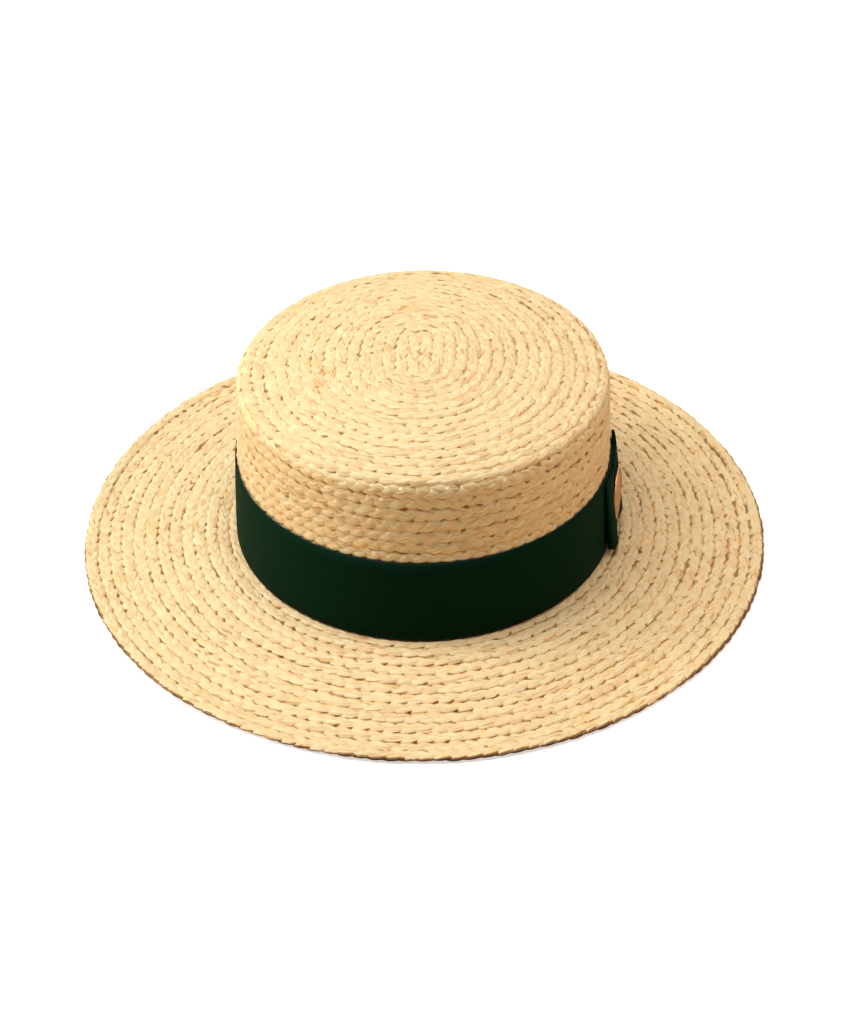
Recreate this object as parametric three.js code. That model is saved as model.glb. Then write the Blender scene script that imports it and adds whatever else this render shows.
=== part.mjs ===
// A wide-brimmed, flat-topped straw hat with a ribbon band, a flat bow and a round metal badge.
// Millimetres, +Z up. The brim's rim rests on Z = 0, the hat's front faces -Y and its bow sits
// on the +X side. X = 0, Y = 0 is the middle of the oval crown.
import * as THREE from "three";

// Straw
const STRAW = 2.6; // thickness of the sewn braid
const GAP = 0.3; // clearance between neighbouring pieces

// Crown: half sizes of its oval foot, outside
const CROWN_HALF_WIDTH = 86;
const CROWN_HALF_LENGTH = 100.4;
const WALL_HEIGHT = 73; // upright wall, up to where the shoulder starts to turn
const WALL_LEAN = 0.03; // inward lean of the wall for each mm of height
const SHOULDER_RADIUS = 5.5;
const DOME_RISE = 7.5; // rise of the tip from the shoulder to its middle
const TIP_FLAT_HALF_WIDTH = 6; // small level field in the middle of the tip

// Brim: half sizes of its oval rim
const BRIM_HALF_WIDTH = 156.6;
const BRIM_HALF_LENGTH = 177.7;
const BRIM_FALL = 3.5; // drop of the brim's top from the crown to the rim
const RIM_LAND = 7; // level row at the rim, on which the hat rests

// Ribbon
const BAND_HEIGHT = 38.8;
const BAND_THICKNESS = 0.8;
const BOW_OFFSET_Y = -11; // the bow's middle, a little forward of the side
const BOW_HALF_LENGTH = 22.5;
const BOW_LOW = 1.8; // the loops' lower edge over the brim
const BOW_HEIGHT = 35.4;
const BOW_PINCH = 1.2; // thickness of the bow under its knot
const BOW_BULGE = 3; // about the thickness of each loop where it is fullest
const RIBBON_WALL = 0.8; // one ply of the loops
const KNOT_WIDTH = 12;
const KNOT_PLY = 0.7;

// Badge
const BADGE_RADIUS = 12.2;
const BADGE_THICKNESS = 1.8;
const BADGE_RIM = 1.6; // width of the raised rim
const BADGE_FIELD_DEPTH = 0.5; // the field lies this much under the rim

// Fineness of the round forms
const AROUND = 72;
const SHOULDER_STEPS = 5;
const DOME_STEPS = 6;
const BRIM_STEPS = 6;
const BOW_STEPS = 12;

const JUNCTION_HEIGHT = STRAW + BRIM_FALL; // the brim's top at the foot of the crown
const CROWN_OVAL = CROWN_HALF_LENGTH - CROWN_HALF_WIDTH;
const BRIM_OVAL = BRIM_HALF_LENGTH - BRIM_HALF_WIDTH;

const point = (x, y) => new THREE.Vector2(x, y);

// How much longer than wide the oval is on each side of the middle, at a given half width.
function ovalExtra(halfWidth) {
  const outward = (halfWidth - CROWN_HALF_WIDTH) / (BRIM_HALF_WIDTH - CROWN_HALF_WIDTH);
  return THREE.MathUtils.lerp(CROWN_OVAL, BRIM_OVAL, Math.max(0, outward));
}

// Turns a profile of half widths and heights into a solid of nested ovals about the Z axis.
function ovalSolid(profile) {
  const solid = new THREE.LatheGeometry(profile, AROUND);
  solid.rotateX(Math.PI / 2);
  const position = solid.attributes.position;
  for (let i = 0; i < position.count; i++) {
    const halfWidth = Math.hypot(position.getX(i), position.getY(i));
    if (halfWidth > 0) {
      position.setY(i, position.getY(i) * (1 + ovalExtra(halfWidth) / halfWidth));
    }
  }
  solid.computeVertexNormals();
  return solid;
}

// Half width of the crown's outer wall at a height over the junction.
const wallHalfWidth = (height) => CROWN_HALF_WIDTH - WALL_LEAN * height;

// One skin of the crown from its foot to the middle of its tip, set in by a depth.
function crownSkin(depth) {
  const turn = wallHalfWidth(WALL_HEIGHT) - SHOULDER_RADIUS; // half width of the shoulder's centre
  const radius = SHOULDER_RADIUS - depth;
  const domeSlope = 2 * Math.atan(DOME_RISE / turn);
  const skin = [point(wallHalfWidth(0) - depth, JUNCTION_HEIGHT + GAP)];
  for (let i = 0; i <= SHOULDER_STEPS; i++) {
    const angle = (Math.PI / 2 - domeSlope) * (i / SHOULDER_STEPS);
    skin.push(point(
      turn + radius * Math.cos(angle),
      JUNCTION_HEIGHT + WALL_HEIGHT + radius * Math.sin(angle),
    ));
  }
  const edge = skin[skin.length - 1];
  const domeRadius = edge.x / Math.sin(domeSlope);
  const domeCentre = edge.y - domeRadius * Math.cos(domeSlope);
  for (let i = 1; i <= DOME_STEPS; i++) {
    const halfWidth = THREE.MathUtils.lerp(edge.x, TIP_FLAT_HALF_WIDTH, i / DOME_STEPS);
    skin.push(point(halfWidth, domeCentre + Math.sqrt(domeRadius ** 2 - halfWidth ** 2)));
  }
  skin.push(point(0, skin[skin.length - 1].y));
  return skin;
}

// The hollow crown: down the inside from the middle of the tip, then up the outside.
function crownGeometry() {
  return ovalSolid([...crownSkin(STRAW).reverse(), ...crownSkin(0)]);
}

// Height of the brim's top at a half width: level by the crown, then falling to the rim.
function brimTop(halfWidth) {
  const landStart = BRIM_HALF_WIDTH - RIM_LAND;
  const outward = (halfWidth - CROWN_HALF_WIDTH) / (landStart - CROWN_HALF_WIDTH);
  return JUNCTION_HEIGHT - BRIM_FALL * THREE.MathUtils.smoothstep(outward, 0, 1);
}

function brimGeometry() {
  const inner = CROWN_HALF_WIDTH - STRAW;
  const landStart = BRIM_HALF_WIDTH - RIM_LAND;
  const stations = [];
  for (let i = 0; i <= BRIM_STEPS; i++) {
    stations.push(THREE.MathUtils.lerp(inner, landStart, i / BRIM_STEPS));
  }
  stations.push(BRIM_HALF_WIDTH);
  const under = stations.map((x) => point(x, brimTop(x) - STRAW));
  const over = stations.map((x) => point(x, brimTop(x))).reverse();
  return ovalSolid([...under, ...over, under[0]]);
}

// The ribbon stands on the brim and leans in with the crown's wall.
function bandGeometry() {
  const low = GAP;
  const high = BAND_HEIGHT;
  const inside = (height) => wallHalfWidth(height) + GAP;
  const profile = [
    point(inside(low), low),
    point(inside(low) + BAND_THICKNESS, low),
    point(inside(high) + BAND_THICKNESS, high),
    point(inside(high), high),
    point(inside(low), low),
  ];
  return ovalSolid(profile.map((p) => point(p.x, p.y + JUNCTION_HEIGHT)));
}

// Where the bow sits: the band's outer surface at its foot, and the way it faces there.
const BOW_SEAT_HALF_WIDTH = wallHalfWidth(0) + GAP + BAND_THICKNESS;
const BOW_SEAT_HALF_LENGTH = BOW_SEAT_HALF_WIDTH + CROWN_OVAL;
const BOW_SEAT_X = BOW_SEAT_HALF_WIDTH * Math.sqrt(1 - (BOW_OFFSET_Y / BOW_SEAT_HALF_LENGTH) ** 2);
const BOW_FACING = Math.atan2(
  BOW_OFFSET_Y / BOW_SEAT_HALF_LENGTH ** 2,
  BOW_SEAT_X / BOW_SEAT_HALF_WIDTH ** 2,
);
const BEND_RADIUS = BOW_SEAT_HALF_LENGTH ** 2 / BOW_SEAT_HALF_WIDTH; // the band's bend at the side
const BAND_LEAN = Math.atan(WALL_LEAN);

// The band falls away from the bow's middle as the crown bends; along is the way round the band.
const fallAway = (along) => BEND_RADIUS - Math.sqrt(BEND_RADIUS ** 2 - along ** 2);

// Thickness of the flat bow: pinched under the knot, fuller in each loop and thin at the folds.
function bowThickness(along) {
  const flat = KNOT_WIDTH / 2 + 1.6;
  const outside = Math.max(0, Math.abs(along) - flat);
  const reach = Math.min(1, outside / (BOW_HALF_LENGTH - flat));
  const swell = Math.sin(Math.PI * reach ** 0.8);
  const fold = RIBBON_WALL * 2 - BOW_PINCH;
  return BOW_PINCH + fold * reach + (BOW_BULGE - BOW_PINCH) * swell * 0.75;
}

// Inner and outer line of a stretch of the bow, in plan, each set in by the same depth.
function bowOutline(from, to, depth) {
  const inner = [];
  const outer = [];
  for (let i = 0; i <= BOW_STEPS; i++) {
    const along = THREE.MathUtils.lerp(from, to, i / BOW_STEPS);
    const seat = GAP - fallAway(along);
    inner.push(point(seat + depth, along));
    outer.push(point(seat + bowThickness(along) - depth, along));
  }
  return [...outer, ...inner.reverse()];
}

// Two flat loops: one outline in plan with a slot through each loop, raised to the loops' height.
function bowLoopsGeometry() {
  const outline = new THREE.Shape(bowOutline(-BOW_HALF_LENGTH, BOW_HALF_LENGTH, 0));
  const slotStart = KNOT_WIDTH / 2 + 3;
  const slotEnd = BOW_HALF_LENGTH - 2.5 * RIBBON_WALL;
  outline.holes.push(new THREE.Path(bowOutline(slotStart, slotEnd, RIBBON_WALL)));
  outline.holes.push(new THREE.Path(bowOutline(-slotEnd, -slotStart, RIBBON_WALL)));
  return new THREE.ExtrudeGeometry(outline, { depth: BOW_HEIGHT, bevelEnabled: false });
}

// The knot wraps over the front of the bow and turns in over its upper and lower edges.
function bowKnotGeometry() {
  const back = 0.6;
  const front = GAP + bowThickness(KNOT_WIDTH / 2) + GAP + KNOT_PLY;
  const low = BOW_LOW - GAP - KNOT_PLY;
  const high = BOW_LOW + BOW_HEIGHT + GAP + KNOT_PLY;
  const wrap = new THREE.Shape([
    point(back, low),
    point(front, low),
    point(front, high),
    point(back, high),
    point(back, high - KNOT_PLY),
    point(front - KNOT_PLY, high - KNOT_PLY),
    point(front - KNOT_PLY, low + KNOT_PLY),
    point(back, low + KNOT_PLY),
  ]);
  const knot = new THREE.ExtrudeGeometry(wrap, { depth: KNOT_WIDTH, bevelEnabled: false });
  knot.rotateX(Math.PI / 2);
  knot.translate(0, KNOT_WIDTH / 2, 0);
  return knot;
}

// A plain disc with a raised rim; its back lies at 0 and its axis runs along +X.
function badgeGeometry() {
  const field = BADGE_RADIUS - BADGE_RIM;
  const profile = [
    point(0, 0),
    point(BADGE_RADIUS, 0),
    point(BADGE_RADIUS, BADGE_THICKNESS - 0.4),
    point(BADGE_RADIUS - 0.4, BADGE_THICKNESS),
    point(field + 0.3, BADGE_THICKNESS),
    point(field, BADGE_THICKNESS - BADGE_FIELD_DEPTH),
    point(0, BADGE_THICKNESS - BADGE_FIELD_DEPTH),
  ];
  const badge = new THREE.LatheGeometry(profile, 48);
  badge.rotateZ(-Math.PI / 2);
  return badge;
}

const strawMaterial = () =>
  new THREE.MeshStandardMaterial({ color: 0xe6c48f, roughness: 0.75, metalness: 0 });
const ribbonMaterial = () =>
  new THREE.MeshStandardMaterial({ color: 0x14301f, roughness: 0.6, metalness: 0 });
const goldMaterial = () =>
  new THREE.MeshStandardMaterial({ color: 0xc98a4b, roughness: 0.3, metalness: 1 });

function piece(name, geometry, material) {
  const mesh = new THREE.Mesh(geometry, material);
  mesh.name = name;
  return mesh;
}

const hat = new THREE.Group();
hat.add(piece("crown", crownGeometry(), strawMaterial()));
hat.add(piece("brim", brimGeometry(), strawMaterial()));
hat.add(piece("hat_band", bandGeometry(), ribbonMaterial()));

// The bow's own frame: +X away from the crown, +Y round the band to the back, Z up from the brim.
const bow = new THREE.Group();
bow.position.set(BOW_SEAT_X, BOW_OFFSET_Y, JUNCTION_HEIGHT);
bow.rotation.set(0, -BAND_LEAN, BOW_FACING, "ZYX");

const loops = piece("bow_loops", bowLoopsGeometry(), ribbonMaterial());
loops.position.z = BOW_LOW;
bow.add(loops);
bow.add(piece("bow_knot", bowKnotGeometry(), ribbonMaterial()));

const badge = piece("badge", badgeGeometry(), goldMaterial());
badge.position.x = GAP + bowThickness(KNOT_WIDTH / 2) + GAP + KNOT_PLY + GAP;
badge.position.z = BAND_HEIGHT / 2;
bow.add(badge);
hat.add(bow);

export default hat;
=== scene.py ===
# A flat-topped, wide-brimmed hat of natural raffia braid, with a dark green ribbon band, a flat
# bow and a round gold-coloured badge, standing brim down on a pale table. Metres, +Z up.
import math
from types import SimpleNamespace

import bmesh
import bpy
import numpy as np
from mathutils import Matrix, Vector


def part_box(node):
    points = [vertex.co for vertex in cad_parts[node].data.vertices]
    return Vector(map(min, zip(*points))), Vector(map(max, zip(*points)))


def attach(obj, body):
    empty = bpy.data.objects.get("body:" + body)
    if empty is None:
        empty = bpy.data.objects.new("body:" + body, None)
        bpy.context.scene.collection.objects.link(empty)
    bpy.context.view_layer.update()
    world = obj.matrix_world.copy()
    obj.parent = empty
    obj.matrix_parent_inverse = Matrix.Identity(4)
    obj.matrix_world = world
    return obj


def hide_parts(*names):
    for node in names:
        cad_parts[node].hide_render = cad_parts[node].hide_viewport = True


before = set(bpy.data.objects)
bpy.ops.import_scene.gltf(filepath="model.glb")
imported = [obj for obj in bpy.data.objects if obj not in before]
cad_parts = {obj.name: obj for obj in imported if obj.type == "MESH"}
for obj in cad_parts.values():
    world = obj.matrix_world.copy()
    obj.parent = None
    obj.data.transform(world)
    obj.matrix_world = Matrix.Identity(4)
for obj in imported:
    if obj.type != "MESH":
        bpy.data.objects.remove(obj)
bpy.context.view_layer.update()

# --- View -------------------------------------------------------------------------------------
# The hat is seen from the front and above, a little from the bow's side, from about a metre.
crown_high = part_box("crown")[1]
brim_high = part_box("brim")[1]
view_height = math.radians(31.5)
view_turn = math.radians(1.7)
view_roll = math.radians(-0.5)
view_distance = 1.112
view_middle = Vector((0, 0, brim_high.z + 0.030))
view_back = Vector((
    math.sin(view_turn) * math.cos(view_height),
    -math.cos(view_turn) * math.cos(view_height),
    math.sin(view_height),
))
camera_data = bpy.data.cameras.new("camera")
camera_data.sensor_width = 36
camera_data.lens = 85.7
camera_data.shift_x = 0.0027
camera_data.shift_y = -0.0527
camera = bpy.data.objects.new("camera", camera_data)
facing = view_back.to_track_quat("Z", "Y").to_matrix().to_4x4()
camera.matrix_world = (
    Matrix.Translation(view_middle + view_back * view_distance)
    @ facing
    @ Matrix.Rotation(view_roll, 4, "Z")
)
bpy.context.collection.objects.link(camera)
bpy.context.scene.camera = camera

# --- Table and light --------------------------------------------------------------------------
# A matt white table that looks a little lit from within. A large soft light stands high on the
# left of the view with a smaller one low under it, one hangs straight above, and a weaker, warm
# one fills the right.
table_glow_strength = 0.6
room_light = 0.01
room_brightness_seen = 0.95


def new_paint(name):
    """A material, with the nodes and links of its tree and its shader."""
    paint = bpy.data.materials.new(name)
    paint.use_nodes = True
    tree = paint.node_tree
    return paint, tree.nodes, tree.links, tree.nodes["Principled BSDF"]


def calculate(operation, one, other=0, third=0):
    """A sum in the material at hand. Each value is a number or another node's output."""
    step = nodes.new("ShaderNodeMath")
    step.operation = operation
    for socket, value in zip(step.inputs, (one, other, third)):
        if isinstance(value, bpy.types.NodeSocket):
            links.new(value, socket)
        else:
            socket.default_value = value
    return step.outputs[0]


def share_of(value, low, high, least=0, most=1):
    """How far a value lies on its way from low to high, as a number from least to most."""
    share = nodes.new("ShaderNodeMapRange")
    share.inputs["From Min"].default_value = low
    share.inputs["From Max"].default_value = high
    share.inputs["To Min"].default_value = least
    share.inputs["To Max"].default_value = most
    links.new(value, share.inputs["Value"])
    return share.outputs["Result"]


table_mesh = bpy.data.meshes.new("table")
table_form = bmesh.new()
bmesh.ops.create_grid(table_form, x_segments=1, y_segments=1, size=6)
table_form.to_mesh(table_mesh)
table_form.free()
table = bpy.data.objects.new("table", table_mesh)
bpy.context.collection.objects.link(table)
table_paint, nodes, links, table_shader = new_paint("table_paint")
table_shader.inputs["Base Color"].default_value = (0.86, 0.70, 0.52, 1)
table_shader.inputs["Roughness"].default_value = 0.9
table_shader.inputs["Emission Color"].default_value = (1, 1, 1, 1)
ray = nodes.new("ShaderNodeLightPath")
glow = calculate("MULTIPLY", ray.outputs["Is Camera Ray"], table_glow_strength)
links.new(glow, table_shader.inputs["Emission Strength"])
table_mesh.materials.append(table_paint)

room = bpy.data.worlds.new("room")
room.use_nodes = True
nodes, links = room.node_tree.nodes, room.node_tree.links
pale_room = nodes["Background"]
pale_room.inputs["Color"].default_value = (1, 0.99, 0.98, 1)
ray = nodes.new("ShaderNodeLightPath")
seen = calculate("MAXIMUM", ray.outputs["Is Camera Ray"], ray.outputs["Is Glossy Ray"])
room_strength = share_of(seen, 0, 1, room_light, room_brightness_seen)
links.new(room_strength, pale_room.inputs["Strength"])
bpy.context.scene.world = room

light_aim = Vector((0, 0, 0.04))
for name, place, size, power, tint in (
    ("left_window", (-0.73, 0, 1.35), 1.0, 12.2, (0.95, 1.05, 1.15)),
    ("left_low", (-1.45, 0, 0.55), 0.8, 11.6, (1, 0.98, 0.92)),
    ("overhead", (0, -0.10, 1.60), 0.9, 15.2, (0.93, 1.00, 1.09)),
    ("right_fill", (1.35, 0.1, 0.65), 1.0, 6.6, (1, 0.77, 0.57)),
):
    lamp = bpy.data.lights.new(name, "AREA")
    lamp.shape = "DISK"
    lamp.size = size
    lamp.energy = power
    lamp.color = tint
    holder = bpy.data.objects.new(name, lamp)
    holder.location = place
    holder.rotation_euler = (light_aim - Vector(place)).to_track_quat("-Z", "Y").to_euler()
    bpy.context.collection.objects.link(holder)
bpy.context.scene.view_settings.view_transform = "Standard"

# --- Straw ------------------------------------------------------------------------------------
# The whole hat is sewn from one kind of plait: three flat strands of natural raffia, crossing
# over and under each other. It is wound in a spiral, and each round is lapped under the edge of
# the one before. Both crown and brim are this straw.
straw_thickness = 0.0026
strand_width = 0.0043
strand_thickness = 0.00125
plait_period = 0.0190  # a strand swings out and back once in this length
plait_turning = 2 * math.pi / plait_period  # radians to the metre
plait_half_swing = 0.0015
plait_lift = 0.00022
end_taper = 0.012
start_pulled_back = 0.0030
start_pressed_in = 0.0003
end_pressed_in = 0.0003

# Straight strands are three units apart, one unit a step, and are then laid on their way.
section_scale = 0.4
strand_spacing = 3
steps_per_period = 12
steps_per_stretch = 24
stretch_long = plait_period / steps_per_period * steps_per_stretch
rough_steps = 60000

# Painted shade along the edge that is lapped under, inward of a row's middle, where the gap
# between rows lies in shade, and along the lower edge of a stout row, outward of it, for its
# shaded underside.
lap_shade = 2.8
lap_shade_from = 0.000643
lap_shade_over = 0.0020
rim_shade = 12
rim_shade_from = 0.0027
rim_shade_over = 0.0004

# Near the middle of the tip the ovals run straight-sided. This fades out over some rows.
button_stretch = 3.5
button_reach = 0.014
foot_half_width = crown_high.x
junction_height = brim_high.z
crown_extra_length = crown_high.y - crown_high.x
brim_extra_length = brim_high.y - brim_high.x


def on_oval(half_width, height, around):
    """A place on the hat's nested ovals; near the middle of the tip they run straight-sided."""
    outward = (half_width - foot_half_width) / (brim_high.x - foot_half_width)
    outward = np.clip(outward, 0, 1)
    extra = crown_extra_length + (brim_extra_length - crown_extra_length) * outward
    straight = 1 + button_stretch * np.exp(-half_width / button_reach)
    sine = np.sin(around)
    lengthwise = straight * sine / np.sqrt(1 + (straight**2 - 1) * sine**2)
    return np.stack([
        half_width * np.cos(around),
        half_width * sine + extra * lengthwise,
        height,
    ], axis=-1)


def eased(share):
    """A share from 0 to 1 that starts and stops gently."""
    return share * share * (3 - 2 * share)


def unit(vectors):
    return vectors / np.linalg.norm(vectors, axis=1, keepdims=True)


def heading(places):
    """The direction of a line at each of its places."""
    return unit(np.gradient(places, axis=0))


def lengths_along(places):
    """How far each place of a line lies from the line's start."""
    return np.concatenate([[0], np.cumsum(np.linalg.norm(np.diff(places, axis=0), axis=1))])


def wander(chance, places, length):
    """A smooth random wave between -1 and 1 along the plait, one new value each length."""
    count = int(places.max() / length) + 3
    values = chance.uniform(-1, 1, count)
    spot = places / length
    low = np.floor(spot).astype(int)
    share = eased(spot - low)
    return values[low] * (1 - share) + values[low + 1] * share


def straight_strands(name, stretches):
    """Three straight closed strands side by side, each a flat seven-sided tube.

    The inner edge of each is drawn out into a thin flap, which closes the lap between rows.
    Laying the strands on the hat mirrors them, so their faces point inwards here.
    """
    section = [(1, 0), (0.80, 0.5), (0.25, 1), (-0.25, 1), (-0.84, 0.4), (-1.6, -0.45), (0, -1)]
    form = bmesh.new()
    for number in range(3):
        corners = [
            form.verts.new((0, y * section_scale + number * strand_spacing, z * section_scale))
            for y, z in section
        ]
        edges = [form.edges.new((corners[i - 1], corners[i])) for i in range(len(corners))]
        bmesh.ops.spin(form, geom=corners + edges, cent=(0, 0, 0), axis=(1, 0, 0),
                       dvec=(1, 0, 0), angle=0, steps=steps_per_stretch, use_duplicate=False)
    mesh = bpy.data.meshes.new(name)
    form.to_mesh(mesh)
    form.free()
    strands = bpy.data.objects.new(name, mesh)
    bpy.context.collection.objects.link(strands)
    repeat = strands.modifiers.new("repeat", "ARRAY")
    repeat.use_relative_offset = False
    repeat.use_constant_offset = True
    repeat.constant_offset_displace = (steps_per_stretch, 0, 0)
    repeat.count = stretches
    repeat.use_merge_vertices = True
    repeat.merge_threshold = 0.01
    whole = bpy.data.meshes.new_from_object(
        strands.evaluated_get(bpy.context.evaluated_depsgraph_get())
    )
    strands.modifiers.clear()
    strands.data = whole
    form = bmesh.new()
    form.from_mesh(whole)
    open_ends = [edge for edge in form.edges if edge.is_boundary]
    bmesh.ops.holes_fill(form, edges=open_ends, sides=0)
    bmesh.ops.recalc_face_normals(form, faces=form.faces)
    bmesh.ops.reverse_faces(form, faces=form.faces)
    for edge in open_ends:
        edge.smooth = False
    form.to_mesh(whole)
    form.free()
    return strands


def spiral(skin, runs, arounds):
    """The plait's way over a skin: its middle line, its outward side and its face, by step."""
    widths, heights = skin
    lengths = lengths_along(np.stack(skin, axis=-1))
    reach = 0.0004

    def place(run):
        width = np.interp(run, lengths, widths)
        return on_oval(width, np.interp(run, lengths, heights), arounds)

    middle = place(runs)
    forward = heading(middle)
    face = unit(np.cross(place(runs + reach) - place(runs - reach), forward))
    return middle, np.cross(forward, face), face


def bend(skin, runs, reaches):
    """How far the skin falls away from its own slope this far across: outward and inward."""
    widths, heights = skin
    lengths = lengths_along(np.stack(skin, axis=-1))
    near = 0.0002
    reaches = np.clip(runs + reaches, 0, lengths[-1]) - runs

    def profile(run):
        return np.stack([np.interp(run, lengths, widths), np.interp(run, lengths, heights)], -1)

    slope = unit(profile(runs + near) - profile(runs - near))
    fall = profile(runs + reaches) - profile(runs) - slope * reaches[:, None]
    lift = -fall[:, 0] * slope[:, 1] + fall[:, 1] * slope[:, 0]
    return (fall * slope).sum(axis=1), lift


def sewing_line(skin, turn_to_run, turn_marks):
    """The plait's way over a skin in even steps, with the stretches at which it is parted.

    Both ends taper. The first is tucked back and under, so that no blunt end shows.
    """
    turns = np.linspace(turn_marks[0], turn_marks[-1], rough_steps)
    rough, _, _ = spiral(skin, turn_to_run(turns), turns * 2 * math.pi)
    travelled = lengths_along(rough)
    stretches = round(travelled[-1] / stretch_long)
    parting = np.interp(turn_marks, turns, travelled) / travelled[-1] * stretches
    along = np.linspace(0, travelled[-1], stretches * steps_per_stretch + 1)
    turn = np.interp(along, travelled, turns)
    runs = turn_to_run(turn)
    middle, side, face = spiral(skin, runs, turn * 2 * math.pi)
    start = np.clip(1 - along / end_taper, 0, 1) ** 2
    pulled_back = heading(middle) * (start * start_pulled_back)[:, None]
    pressed_in = face * (start * start_pressed_in)[:, None]
    return SimpleNamespace(
        along=along, runs=runs, side=side, face=face,
        middle=middle - pulled_back - pressed_in,
        upright=1 - np.abs(face[:, 2]),
        fullness=eased(np.clip((along[-1] - along) / end_taper, 0.08, 1)),
        parting=np.rint(parting).astype(int),
    )


def strand_way(line, number, sway, overlap_tilt, stoutness, chance):
    """One strand's middle, half breadth and half thickness, tone, offset and half width.

    The strand swings from side to side and lies low where it turns. Every strand is a little
    uneven in swing, lift, roll, width and thickness, and more so on the upright wall.
    """
    along, fullness, upright = line.along, line.fullness, line.upright
    phase = 2 * math.pi * (along / plait_period + number / 3)
    swing = plait_half_swing * fullness * (1 + 0.10 * wander(chance, along, 0.007))
    offset = swing * (np.sin(phase) + 0.03 * np.sin(3 * phase)) + sway
    lift = 0.00013 * wander(chance, along, 0.0063) - plait_lift * np.sin(2 * phase)
    lift = lift * (1 + 0.5 * upright) + overlap_tilt * (1 + 0.35 * upright) * offset
    lift = lift - end_pressed_in * (1 - fullness)
    centre = line.middle + line.side * offset[:, None] + line.face * lift[:, None]
    forward = heading(centre)
    breadth = unit(np.cross(forward, line.face))
    upper = np.cross(breadth, forward)
    roll = (0.09 + 0.04 * upright) * wander(chance, along, 0.008) - 0.08 * np.sin(phase)
    cosine, sine = np.cos(roll)[:, None], np.sin(roll)[:, None]
    edge = 1 - 0.08 * np.sin(phase) ** 2 + 0.10 * wander(chance, along, 0.009)
    half_wide = strand_width / 2 * edge * (0.25 + 0.75 * fullness)
    swell = 1 + 0.20 * np.sin(phase) ** 2 + 0.12 * wander(chance, along, 0.011)
    half_thick = strand_thickness / 2 * stoutness * swell * (0.4 + 0.6 * fullness)
    leaf = wander(chance, along, 0.09) * 0.5 + wander(chance, along, 0.0065) * 0.5
    return (
        centre,
        (breadth * cosine + upper * sine) * half_wide[:, None],
        (upper * cosine - breadth * sine) * half_thick[:, None],
        0.5 + 0.5 * leaf, offset, half_wide,
    )


def lay_strands(mesh, first_step, skin, line, ways, stoutness):
    """Bends straight strands onto their ways and notes fibre, tone and seam at each corner.

    Fibre is the place along, across and through a strand, set apart for each strand so that no
    two have the same marks. Seam says how much painted shade the gaps between rows and the
    lower edge of a stout row get: less on the upright wall, and more toward the bow's side,
    which lies away from the main lights.
    """
    centres, breadths, faces, tones, offsets, half_wides = ways
    corners = np.empty(len(mesh.vertices) * 3)
    mesh.vertices.foreach_get("co", corners)
    corners = corners.reshape(-1, 3)
    step = np.rint(corners[:, 0]).astype(int) + first_step
    strand = np.rint(corners[:, 1] / strand_spacing).astype(int)
    across = (corners[:, 1] - strand * strand_spacing) / section_scale
    through = corners[:, 2] / section_scale
    out = offsets[strand, step] + across * half_wides[strand, step]
    onward, inward = bend(skin, line.runs[step], out)
    placed = (
        centres[strand, step]
        + breadths[strand, step] * across[:, None]
        + faces[strand, step] * through[:, None]
        + line.side[step] * onward[:, None] + line.face[step] * inward[:, None]
    )
    mesh.vertices.foreach_set("co", placed.ravel())
    strand_apart = plait_period * (1600 + 1 / 3)
    fibre = mesh.attributes.new("fibre", "FLOAT_VECTOR", "POINT")
    fibre.data.foreach_set("vector", np.stack([
        line.along[step] + strand * strand_apart, across, through + strand * 5.3
    ], axis=-1).ravel())
    tone = mesh.attributes.new("tone", "FLOAT", "POINT")
    tone.data.foreach_set("value", tones[strand, step])
    seam = mesh.attributes.new("seam", "FLOAT", "POINT")
    # Painted shade where a row's edge is lapped under the one before, and along a stout row's
    # lower edge.
    under = lap_shade * np.clip((-out - lap_shade_from) / lap_shade_over, 0, 1)
    if stoutness > 1:
        under = under + rim_shade * np.clip((out - rim_shade_from) / rim_shade_over, 0, 1)
    # The painted shade grows toward the bow's side, away from the main lights, and is less on the
    # upright wall.
    bow_side = np.clip(placed[:, 0] / brim_high.x, -0.45, 1)
    seam.data.foreach_set("value", under - 0.5 * line.upright[step] + 0.9 * bow_side - 0.1)
    mesh.shade_smooth()
    mesh.update()


def plait(names, skin, turn_to_run, turn_marks, overlap_tilt, stoutness, seed):
    """Sews the plait onto a skin and returns its pieces, parted where the turn marks say."""
    line = sewing_line(skin, turn_to_run, turn_marks)
    chance = np.random.default_rng(seed)
    slow_sway = wander(chance, line.along, 0.045) * 0.00020
    sway = slow_sway + wander(chance, line.along, 0.017) * 0.00015
    ways = [
        strand_way(line, number, sway, overlap_tilt, stoutness, chance) for number in range(3)
    ]
    ways = [np.stack(each) for each in zip(*ways)]
    pieces = []
    for name, first, last in zip(names, line.parting, line.parting[1:]):
        strands = straight_strands(name, int(last - first))
        lay_strands(strands.data, first * steps_per_stretch, skin, line, ways, stoutness)
        strands.data.materials.append(straw)
        pieces.append(strands)
    return pieces


def attribute(name):
    """Reads what a mesh notes at its corners under this name."""
    reader = nodes.new("ShaderNodeAttribute")
    reader.attribute_name = name
    return reader


def noise(place, scale, detail):
    texture = nodes.new("ShaderNodeTexNoise")
    texture.inputs["Scale"].default_value = scale
    texture.inputs["Detail"].default_value = detail
    links.new(place, texture.inputs["Vector"])
    return texture.outputs["Fac"]


def fibre_noise(stretch, detail):
    """Noise drawn out along the strands: marks to the metre, then across and through a strand."""
    scaled = nodes.new("ShaderNodeVectorMath")
    scaled.operation = "MULTIPLY"
    scaled.inputs[1].default_value = stretch
    links.new(fibre_place.outputs["Vector"], scaled.inputs[0])
    return noise(scaled.outputs[0], 1, detail)


def shade_between(amount, low, low_colour, high, high_colour):
    ramp = nodes.new("ShaderNodeValToRGB")
    ramp.color_ramp.elements[0].position = low
    ramp.color_ramp.elements[0].color = (*low_colour, 1)
    ramp.color_ramp.elements[1].position = high
    ramp.color_ramp.elements[1].color = (*high_colour, 1)
    links.new(amount, ramp.inputs["Fac"])
    return ramp.outputs["Color"]


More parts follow.
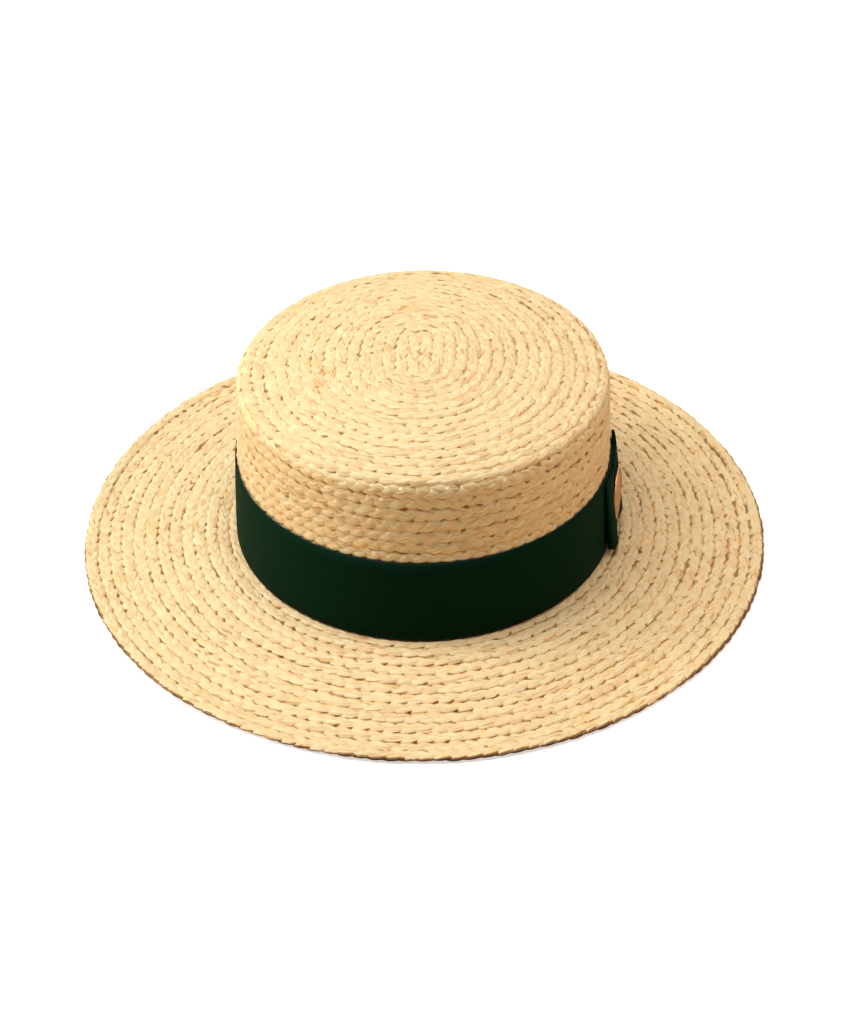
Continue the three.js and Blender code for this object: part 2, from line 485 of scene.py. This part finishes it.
def multiply(one, other):
    mix = nodes.new("ShaderNodeMix")
    mix.data_type = "RGBA"
    mix.blend_type = "MULTIPLY"
    mix.inputs["Factor"].default_value = 1
    links.new(one, mix.inputs[6])
    links.new(other, mix.inputs[7])
    return mix.outputs[2]


def bump(height, strength, distance, under=None, sunken=False):
    """The normals of a relief of this height, or depth if sunken, over those of one under it."""
    relief = nodes.new("ShaderNodeBump")
    relief.invert = sunken
    relief.inputs["Strength"].default_value = strength
    relief.inputs["Distance"].default_value = distance
    links.new(height, relief.inputs["Height"])
    if under is not None:
        links.new(under, relief.inputs["Normal"])
    return relief.outputs["Normal"]


def notches(weave_shift, inner, outer):
    """Painted shade in the small gaps beside the crossings along one edge of the plait,
    between two places across.
    """
    swing = calculate("SINE", calculate("MULTIPLY", fibre_parts.outputs["X"], plait_turning))
    weave = calculate("ABSOLUTE", calculate("ADD", swing, weave_shift))
    at_edge = share_of(fibre_parts.outputs["Y"], inner, outer)
    return calculate("MULTIPLY", share_of(weave, 0.42, 0.14), at_edge)


straw, nodes, links, straw_shader = new_paint("straw")
fibre_place = attribute("fibre")
creases = fibre_noise((70, 1.9, 1.0), 2)
fibres = fibre_noise((120, 9, 3), 3)
blotches = fibre_noise((150, 0.7, 0.7), 1)
stains = fibre_noise((26, 0.8, 0.8), 1)
# The next noise breaks the painted shade in the gaps between rows into dashes and dots.
gap_shade_noise = fibre_noise((120, 0.6, 0.2), 1)

fibre_parts = nodes.new("ShaderNodeSeparateXYZ")
links.new(fibre_place.outputs["Vector"], fibre_parts.inputs[0])
# Painted shade: how deep each place lies in the shade of a gap, from the seam, that noise, and the
# notches beside crossings.
painted_gap_shade = calculate("MULTIPLY_ADD", gap_shade_noise, 9.0, attribute("seam").outputs["Fac"])
painted_gap_shade = calculate("MULTIPLY_ADD", notches(-0.5, 0.45, 0.80), 2.6, painted_gap_shade)
painted_gap_shade = calculate("MULTIPLY_ADD", notches(0.5, -0.45, -0.80), 1.7, painted_gap_shade)

straw_colour = shade_between(fibres, 0.32, (0.82, 0.56, 0.27), 0.60, (0.94, 0.71, 0.395))
for amount, low, low_colour, high, high_colour in (
    (blotches, 0.33, (1.0, 0.90, 0.80), 0.66, (0.97, 1.0, 1.0)),
    (attribute("tone").outputs["Fac"], 0.0, (0.86, 0.80, 0.72), 0.55, (1, 1, 1)),
    (stains, 0.66, (1, 1, 1), 0.76, (0.80, 0.62, 0.45)),
    (creases, 0.30, (0.74, 0.58, 0.42), 0.40, (1, 1, 1)),
    # Painted shade in the gaps and notches, in a light and a dark step, and along a stout row's
    # lower edge.
    (share_of(painted_gap_shade, 6.5, 7.4), 0.0, (1, 1, 1), 1.0, (0.84, 0.72, 0.58)),
    (share_of(painted_gap_shade, 7.5, 8.6), 0.0, (1, 1, 1), 1.0, (0.42, 0.34, 0.21)),
    (share_of(painted_gap_shade, 12.5, 15.5), 0.0, (1, 1, 1), 1.0, (0.36, 0.26, 0.20)),
):
    straw_colour = multiply(
        straw_colour, shade_between(amount, low, low_colour, high, high_colour)
    )
links.new(straw_colour, straw_shader.inputs["Base Color"])
straw_shader.inputs["Roughness"].default_value = 0.5
straw_shader.inputs["Specular IOR Level"].default_value = 0.25
crease_relief = bump(creases, 0.8, 0.0007, sunken=True)
fibre_relief = bump(fibres, 0.5, 0.0002, crease_relief, sunken=True)
links.new(fibre_relief, straw_shader.inputs["Normal"])

# --- Crown ------------------------------------------------------------------------------------
# An upright oval wall and a gently domed tip, of the same straw. The plait starts as a small
# oblong button in the middle of the tip and is sewn round and round, over the shoulder and
# down the wall, on a block that gives the crown its form.
wall_lean = 0.03
wall_height = 0.073
shoulder_radius = 0.0055
dome_rise = 0.0075
row_pitch = 0.00535


def crown_skin():
    """Half widths and heights of the straw's middle, from the middle of the tip to the foot."""
    depth = straw_thickness / 2
    turn = foot_half_width - wall_lean * wall_height - shoulder_radius
    slope = 2 * math.atan(dome_rise / turn)
    edge_width = turn + shoulder_radius * math.sin(slope)
    edge_height = junction_height + wall_height + shoulder_radius * math.cos(slope)
    dome_radius = edge_width / math.sin(slope)
    dome_middle = edge_height - dome_radius * math.cos(slope)
    dome = np.linspace(0, slope, 200)
    shoulder = np.linspace(slope, math.pi / 2, 60)
    wall = np.linspace(wall_height, 0, 120)
    widths = np.concatenate([
        (dome_radius - depth) * np.sin(dome),
        turn + (shoulder_radius - depth) * np.sin(shoulder),
        foot_half_width - wall_lean * wall - depth,
    ])
    heights = np.concatenate([
        dome_middle + (dome_radius - depth) * np.cos(dome),
        junction_height + wall_height + (shoulder_radius - depth) * np.cos(shoulder),
        junction_height + wall,
    ])
    return widths, heights


tip_and_wall = crown_skin()
crown_length = lengths_along(np.stack(tip_and_wall, axis=-1))[-1]
crown_turns = crown_length / row_pitch
tip_turns = (crown_length - wall_height) / row_pitch


def crown_run(turns):
    """Each turn steps out by one row, and by less in the button.

    The last turn eases in under the brim's first row.
    """
    last = np.clip(turns - crown_turns + 1.3, 0, None)
    tight = 1 - 0.14 * np.exp(-1.2 * np.abs(turns))
    return (turns + 0.25) * tight * row_pitch - 0.385 * last**2 * row_pitch


crown_tip, crown_wall = plait(
    ("crown_tip", "crown_wall"), tip_and_wall, crown_run,
    (-0.25, tip_turns + 1.2, crown_turns - 0.1), overlap_tilt=0.095, stoutness=1, seed=1,
)
for piece in (crown_tip, crown_wall):
    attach(piece, "root")
    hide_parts("crown")

# --- Brim -------------------------------------------------------------------------------------
# A wide, nearly flat oval brim of the same straw. Its first row stands inside the crown's foot
# and is sewn to it, twelve rows run out from there, and a stouter row is sewn over the edge of
# the last one as the rim, on which the hat rests.
rim_land = 0.007
join_radius = 0.0030
join_upright = 0.0015
brim_rows = 12
first_row_from = 0.0012  # along the skin, from its upper end
join_to_first_row = 0.0009
rim_lap = 0.0036
rim_height = 0.0016
rim_inset = 0.0038
rim_half_reach = 0.0050


def brim_skin():
    """Half widths and heights of the brim's middle, from inside the crown's foot to the rim."""
    join = np.linspace(0, math.pi / 2, 40)
    widths = np.linspace(foot_half_width - 0.0001, brim_high.x, 300)
    land = brim_high.x - rim_land
    outward = np.clip((widths - foot_half_width) / (land - foot_half_width), 0, 1)
    fall = (junction_height - straw_thickness) * eased(outward)
    level = junction_height - straw_thickness / 2
    return np.concatenate([
        [widths[0] - join_radius],
        widths[0] - join_radius * np.cos(join),
        widths[1:],
    ]), np.concatenate([
        [level + join_radius + join_upright],
        level + join_radius * (1 - np.sin(join)),
        level - fall[1:],
    ])


brim_shape = brim_skin()
brim_length = lengths_along(np.stack(brim_shape, axis=-1))[-1]
brim_start = join_upright + join_radius * math.pi / 2 + join_to_first_row
brim_pitch = (brim_length - rim_lap - brim_start) / brim_rows


def brim_run(turns):
    """Rows run level round the front and step out by one row across the back.

    The first stands inside the crown's foot, and the last ends half under the rim.
    """
    whole = np.floor(turns)
    rows = whole - 1 + eased(np.clip((turns - whole - 0.08) / 0.34, 0, 1))
    run = brim_start + np.minimum(rows, brim_rows - 0.5) * brim_pitch
    return np.maximum(run, first_row_from)


def rim_run(turns):
    """The rim's one row keeps to the middle of its narrow skin."""
    return np.full_like(turns, rim_half_reach)


brim_inner, brim_outer = plait(
    ("brim_inner", "brim_outer"), brim_shape, brim_run,
    (-0.70, 6.25, brim_rows + 0.37), overlap_tilt=0.050, stoutness=1, seed=3,
)
rim_middle = brim_high.x - rim_inset
rim_skin = (
    np.array([rim_middle - rim_half_reach, rim_middle + rim_half_reach]),
    np.array([rim_height, rim_height]),
)
brim_rim, = plait(
    ("brim_rim",), rim_skin, rim_run,
    (0.36, 1.372), overlap_tilt=0.02, stoutness=1.5, seed=5,
)
for piece in (brim_inner, brim_outer, brim_rim):
    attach(piece, "root")
    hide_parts("brim")

# --- Ribbon band ------------------------------------------------------------------------------
# One length of dark green ribbon, woven fine and close with a firm selvedge along both edges,
# drawn tight round the foot of the crown. Its ends lap behind the bow.
ribbon_thickness = 0.00036
rib_spacing = 0.00055
band_lap = 0.012
band_low, band_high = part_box("hat_band")
badge_low, badge_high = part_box("badge")
badge_middle = (badge_low + badge_high) / 2
bow_turn = math.asin(badge_middle.y / crown_high.y)


def band_seat(around, height, clear):
    """A place this far outside the crown's straw, at a height over the table."""
    width = foot_half_width - wall_lean * (height - junction_height) + clear
    return on_oval(width, height, around)


def ribbon_strip(name, long, wide, steps_long, steps_wide):
    """A flat strip of ribbon lying along X, its middle at the origin."""
    form = bmesh.new()
    bmesh.ops.create_grid(form, x_segments=steps_long, y_segments=steps_wide, size=0.5)
    bmesh.ops.scale(form, verts=form.verts, vec=(long, wide, 1))
    mesh = bpy.data.meshes.new(name)
    form.to_mesh(mesh)
    form.free()
    strip = bpy.data.objects.new(name, mesh)
    bpy.context.collection.objects.link(strip)
    return strip


def strip_places(strip):
    places = np.empty(len(strip.data.vertices) * 3)
    strip.data.vertices.foreach_get("co", places)
    return places.reshape(-1, 3)


def dress_ribbon(strip, places, flat_places, selvedge_wide):
    """Lays the strip's corners at their places, notes the weave and gives the cloth its body.

    The weave is the place along and across the ribbon, and a share from 0 in its middle to 1 at
    its selvedges.
    """
    mesh = strip.data
    mesh.vertices.foreach_set("co", places.ravel())
    weave = mesh.attributes.new("weave", "FLOAT_VECTOR", "POINT")
    weave.data.foreach_set("vector", np.stack([
        flat_places[:, 0], flat_places[:, 1], np.abs(flat_places[:, 1]) / (selvedge_wide / 2)
    ], axis=-1).ravel())
    mesh.shade_smooth()
    body = strip.modifiers.new("body", "SOLIDIFY")
    body.thickness = ribbon_thickness
    body.offset = 0
    body.use_even_offset = True
    body.use_quality_normals = True
    mesh.materials.append(ribbon)


ribbon, nodes, links, ribbon_shader = new_paint("ribbon")
weave_place = attribute("weave").outputs["Vector"]
weave_parts = nodes.new("ShaderNodeSeparateXYZ")
links.new(weave_place, weave_parts.inputs["Vector"])
ribs = calculate("MULTIPLY", weave_parts.outputs["X"], 2 * math.pi / rib_spacing)
cloth_noise = noise(weave_place, 900, 3)
ribbon_colour = nodes.new("ShaderNodeMix")
ribbon_colour.data_type = "RGBA"
ribbon_colour.inputs[7].default_value = (0.010, 0.026, 0.018, 1)
links.new(share_of(weave_parts.outputs["Z"], 0.955, 0.985), ribbon_colour.inputs["Factor"])
links.new(
    shade_between(cloth_noise, 0.3, (0.0021, 0.0125, 0.0056), 0.7, (0.0046, 0.0240, 0.0112)),
    ribbon_colour.inputs[6],
)
links.new(ribbon_colour.outputs[2], ribbon_shader.inputs["Base Color"])
rib_height = calculate("MULTIPLY_ADD", calculate("SINE", ribs), 0.35, cloth_noise)
links.new(bump(rib_height, 0.30, 0.00012), ribbon_shader.inputs["Normal"])
ribbon_shader.inputs["Roughness"].default_value = 0.62
ribbon_shader.inputs["Specular IOR Level"].default_value = 0.012
ribbon_shader.inputs["Specular Tint"].default_value = (0.25, 0.85, 0.6, 1)

band_wide = band_high.z - band_low.z
band_level = band_low.z + band_wide / 2
ring = band_seat(np.linspace(0, 2 * math.pi, 721), np.full(721, band_level), 0)
band_round = lengths_along(ring)[-1]
band_long = band_round + band_lap
hat_ribbon = ribbon_strip("hat_ribbon", band_long, band_wide, 420, 8)
flat_places = strip_places(hat_ribbon)
share = flat_places[:, 0] / band_long
around = bow_turn + math.pi + share * 2 * math.pi * band_long / band_round
level = flat_places[:, 1] / (band_wide / 2)
chance = np.random.default_rng(21)
slack = wander(chance, flat_places[:, 0] + band_long, 0.035) * 0.00012
outer_lap = np.clip((share - 0.44) / 0.03, 0, 1) * (ribbon_thickness + 0.00005)
clear = 0.0003 + slack * (0.4 + 0.6 * level) + 0.0002 * (1 - level**2) + outer_lap
top_waver = wander(chance, flat_places[:, 0] + band_long, 0.05) * 0.00015 * (level > 0)
height = band_level + flat_places[:, 1] + top_waver
dress_ribbon(hat_ribbon, band_seat(around, height, clear), flat_places, band_wide)
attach(hat_ribbon, "root")
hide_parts("hat_band")

# --- Bow --------------------------------------------------------------------------------------
# A flat bow of the same ribbon on the wearer's left: one length folded into two loops that lie
# close against the band, a little open at the bottom, and held by a short ribbon knot. The
# badge presses them flat where it sits.
bow_low, bow_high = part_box("bow_loops")
bow_half_long = (bow_high.y - bow_low.y) / 2
bow_wide = bow_high.z - bow_low.z
bow_level = bow_low.z + bow_wide / 2
loop_long = 4 * bow_half_long + 0.012  # twice the bow's length, the folds and the loops' rise
loops_clear = 0.0014
ply_apart = 0.00042
pressed_clear = 0.00155
pressed_ply_apart = 0.00040
badge_press_radius = 0.0148
badge_press_edge = 0.0022


def round_the_band(along, height, clear):
    """A place on the band, by how far it lies round from the bow's middle."""
    turn = bow_turn + along / crown_high.y
    return band_seat(turn, height, clear)


loops = ribbon_strip("loops", loop_long, bow_wide, 240, 10)
flat_places = strip_places(loops)

# Along the bow, from -1 at the near loop's tip to 1 at the far one's. The ribbon's middle half
# lies behind, and both its ends come back in front to meet under the knot.
travel = flat_places[:, 0] / loop_long * 4
along = np.sign(travel) * np.where(np.abs(travel) < 1, np.abs(travel), 2 - np.abs(travel))
front = eased(np.clip((np.abs(travel) - 0.96) / 0.08, 0, 1))
lowness = 0.5 - flat_places[:, 1] / bow_wide
near_loop = np.clip(-along, 0, 1)
far_loop = np.clip(along, 0, 1)

# How far each place stands off the crown: its ply, the swell of the loops, and their lower
# edges, which stand open, most of all at the near loop's tip.
beyond_knot = np.clip((np.abs(along) - 0.28) / 0.72, 0, 1)
swell = np.sin(math.pi * beyond_knot) ** 0.8 * (1 - 0.1 * np.clip(near_loop * 3, 0, 1))
clear = loops_clear + ply_apart * front
clear = clear + swell * (0.0004 + 0.0012 * lowness) * (0.2 + 0.8 * front)
clear = clear + 0.0020 * lowness * front * np.clip(np.abs(along) * 2 - 0.4, 0, 1)
clear = clear + 0.0010 * lowness**2 * near_loop**2
clear = clear + 0.0005 * front * far_loop
from_badge = np.hypot(along * bow_half_long, flat_places[:, 1] - badge_middle.z + bow_level)
pressed = eased(np.clip((badge_press_radius - from_badge) / badge_press_edge, 0, 1))
clear = clear - pressed * np.clip(clear - pressed_clear - pressed_ply_apart * front, 0, None)

height = bow_level + flat_places[:, 1]
height = height + 0.0004 * np.sin(along * 2.2) * (0.5 - lowness)
height = height + 0.0017 * (near_loop * lowness + far_loop * (1 - lowness))
dress_ribbon(
    loops, round_the_band(along * bow_half_long, height, clear), flat_places, bow_wide
)
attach(loops, "root")
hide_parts("bow_loops")

# --- Knot -------------------------------------------------------------------------------------
# A short piece of the ribbon, folded lengthwise into soft pleats, goes round the bow's middle
# and is stitched down behind it.
knot_wide = 0.012
knot_tuck = 0.0071
knot_behind = 0.0010  # how far the knot's three stretches stand off the crown
knot_under_badge = 0.0024
knot_foot = 0.0031
knot_bottom = bow_low.z - 0.0003
knot_top = bow_high.z + 0.0003
pleat_depth = 0.00010
knot_way = np.array([
    (knot_behind, knot_bottom + knot_tuck),
    (knot_behind, knot_bottom),
    (knot_foot, knot_bottom),
    (knot_under_badge, badge_low.z - 0.0012),
    (knot_under_badge, knot_top),
    (knot_behind, knot_top),
    (knot_behind, knot_top - knot_tuck),
])
knot_lengths = lengths_along(knot_way)
knot_long = knot_lengths[-1]
finely = np.linspace(0, knot_long, 600)
rounded = np.stack([np.interp(finely, knot_lengths, each) for each in knot_way.T], axis=-1)
for _ in range(12):
    rounded[1:-1] = (rounded[:-2] + rounded[1:-1] * 2 + rounded[2:]) / 4
knot = ribbon_strip("knot", knot_long, knot_wide, 150, 20)
flat_places = strip_places(knot)
spot = flat_places[:, 0] + knot_long / 2
across = flat_places[:, 1] / (knot_wide / 2)
waist = 1 - 0.10 * np.exp(-(flat_places[:, 0] / 0.013) ** 2)
clear = np.interp(spot, finely, rounded[:, 0])
height = np.interp(spot, finely, rounded[:, 1])
in_front = np.clip((clear - 0.0016) / 0.0008, 0, 1)
clear = clear + in_front * (pleat_depth * np.cos(across * 3 * math.pi) - 0.0003 * across**8)

# Its selvedges are folded in, so none shows.
dress_ribbon(
    knot, round_the_band(-flat_places[:, 1] * waist, height, clear), flat_places, knot_wide * 2
)
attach(knot, "root")
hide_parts("bow_knot")

# --- Badge ------------------------------------------------------------------------------------
# A plain round disc of gold-coloured brass on the knot, spun with a raised rim, a fine groove
# and a faintly domed field, and polished. It is pinned through the bow.
badge_radius = (badge_high.z - badge_low.z) / 2
badge_clear = 0.0031
badge_yaw = math.radians(-4.0)
badge_pitch = math.radians(88.6)

# Radius and rise in millimetres, from the middle of the back round the edge to that of the front.
badge_profile = (
    (0, -0.50), (11.2, -0.50), (11.9, -0.36), (12.2, -0.05), (12.2, 0.22), (12.0, 0.50),
    (11.6, 0.66), (11.1, 0.70), (10.7, 0.62), (10.45, 0.36), (10.2, 0.30), (9.9, 0.34),
    (9.0, 0.40), (7.5, 0.46), (5.5, 0.52), (3.0, 0.565), (0, 0.58),
)
profile_radius = 12.2
disc_form = bmesh.new()
outline = [
    disc_form.verts.new((radius / profile_radius * badge_radius, 0, rise * 0.001))
    for radius, rise in badge_profile
]
line = [disc_form.edges.new(pair) for pair in zip(outline, outline[1:])]
bmesh.ops.spin(disc_form, geom=outline + line, cent=(0, 0, 0), axis=(0, 0, 1), dvec=(0, 0, 0),
               angle=2 * math.pi, steps=96, use_merge=True, use_duplicate=False)
bmesh.ops.remove_doubles(disc_form, verts=disc_form.verts, dist=1e-6)
bmesh.ops.recalc_face_normals(disc_form, faces=disc_form.faces)
badge_seat = round_the_band(np.zeros(1), np.full(1, badge_middle.z), np.full(1, badge_clear))[0]
facing_turn = math.atan2(
    math.sin(bow_turn) / crown_high.y, math.cos(bow_turn) / crown_high.x
)
badge_lie = Matrix.Rotation(facing_turn + badge_yaw, 4, "Z") @ Matrix.Rotation(badge_pitch, 4, "Y")
bmesh.ops.transform(disc_form, matrix=Matrix.Translation(badge_seat) @ badge_lie,
                    verts=disc_form.verts)
disc_mesh = bpy.data.meshes.new("disc")
disc_form.to_mesh(disc_mesh)
disc_form.free()
disc_mesh.shade_smooth()
disc_mesh.set_sharp_from_angle(angle=math.radians(50))
disc = bpy.data.objects.new("disc", disc_mesh)
bpy.context.collection.objects.link(disc)

brass, nodes, links, brass_shader = new_paint("brass")
brass_shader.inputs["Metallic"].default_value = 1
disc_place = nodes.new("ShaderNodeTexCoord").outputs["Object"]
to_middle = nodes.new("ShaderNodeMapping")
to_middle.vector_type = "TEXTURE"
to_middle.inputs["Location"].default_value = badge_seat
to_middle.inputs["Rotation"].default_value = badge_lie.to_euler()
links.new(disc_place, to_middle.inputs["Vector"])
flatten = nodes.new("ShaderNodeVectorMath")
flatten.operation = "MULTIPLY"
flatten.inputs[1].default_value = (1, 1, 0)
links.new(to_middle.outputs["Vector"], flatten.inputs[0])
radius = nodes.new("ShaderNodeVectorMath")
radius.operation = "LENGTH"
links.new(flatten.outputs[0], radius.inputs[0])
turning = nodes.new("ShaderNodeTexNoise")
turning.noise_dimensions = "1D"
turning.inputs["Scale"].default_value = 5000
turning.inputs["Detail"].default_value = 2
links.new(radius.outputs["Value"], turning.inputs["W"])
links.new(bump(turning.outputs["Fac"], 0.15, 0.00003), brass_shader.inputs["Normal"])
tarnish = noise(disc_place, 220, 4)
brass_colour = shade_between(tarnish, 0.35, (0.38, 0.15, 0.045), 0.65, (0.62, 0.29, 0.095))
links.new(brass_colour, brass_shader.inputs["Base Color"])
links.new(share_of(tarnish, 0, 1, 0.30, 0.16), brass_shader.inputs["Roughness"])
disc_mesh.materials.append(brass)
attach(disc, "root")
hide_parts("badge")
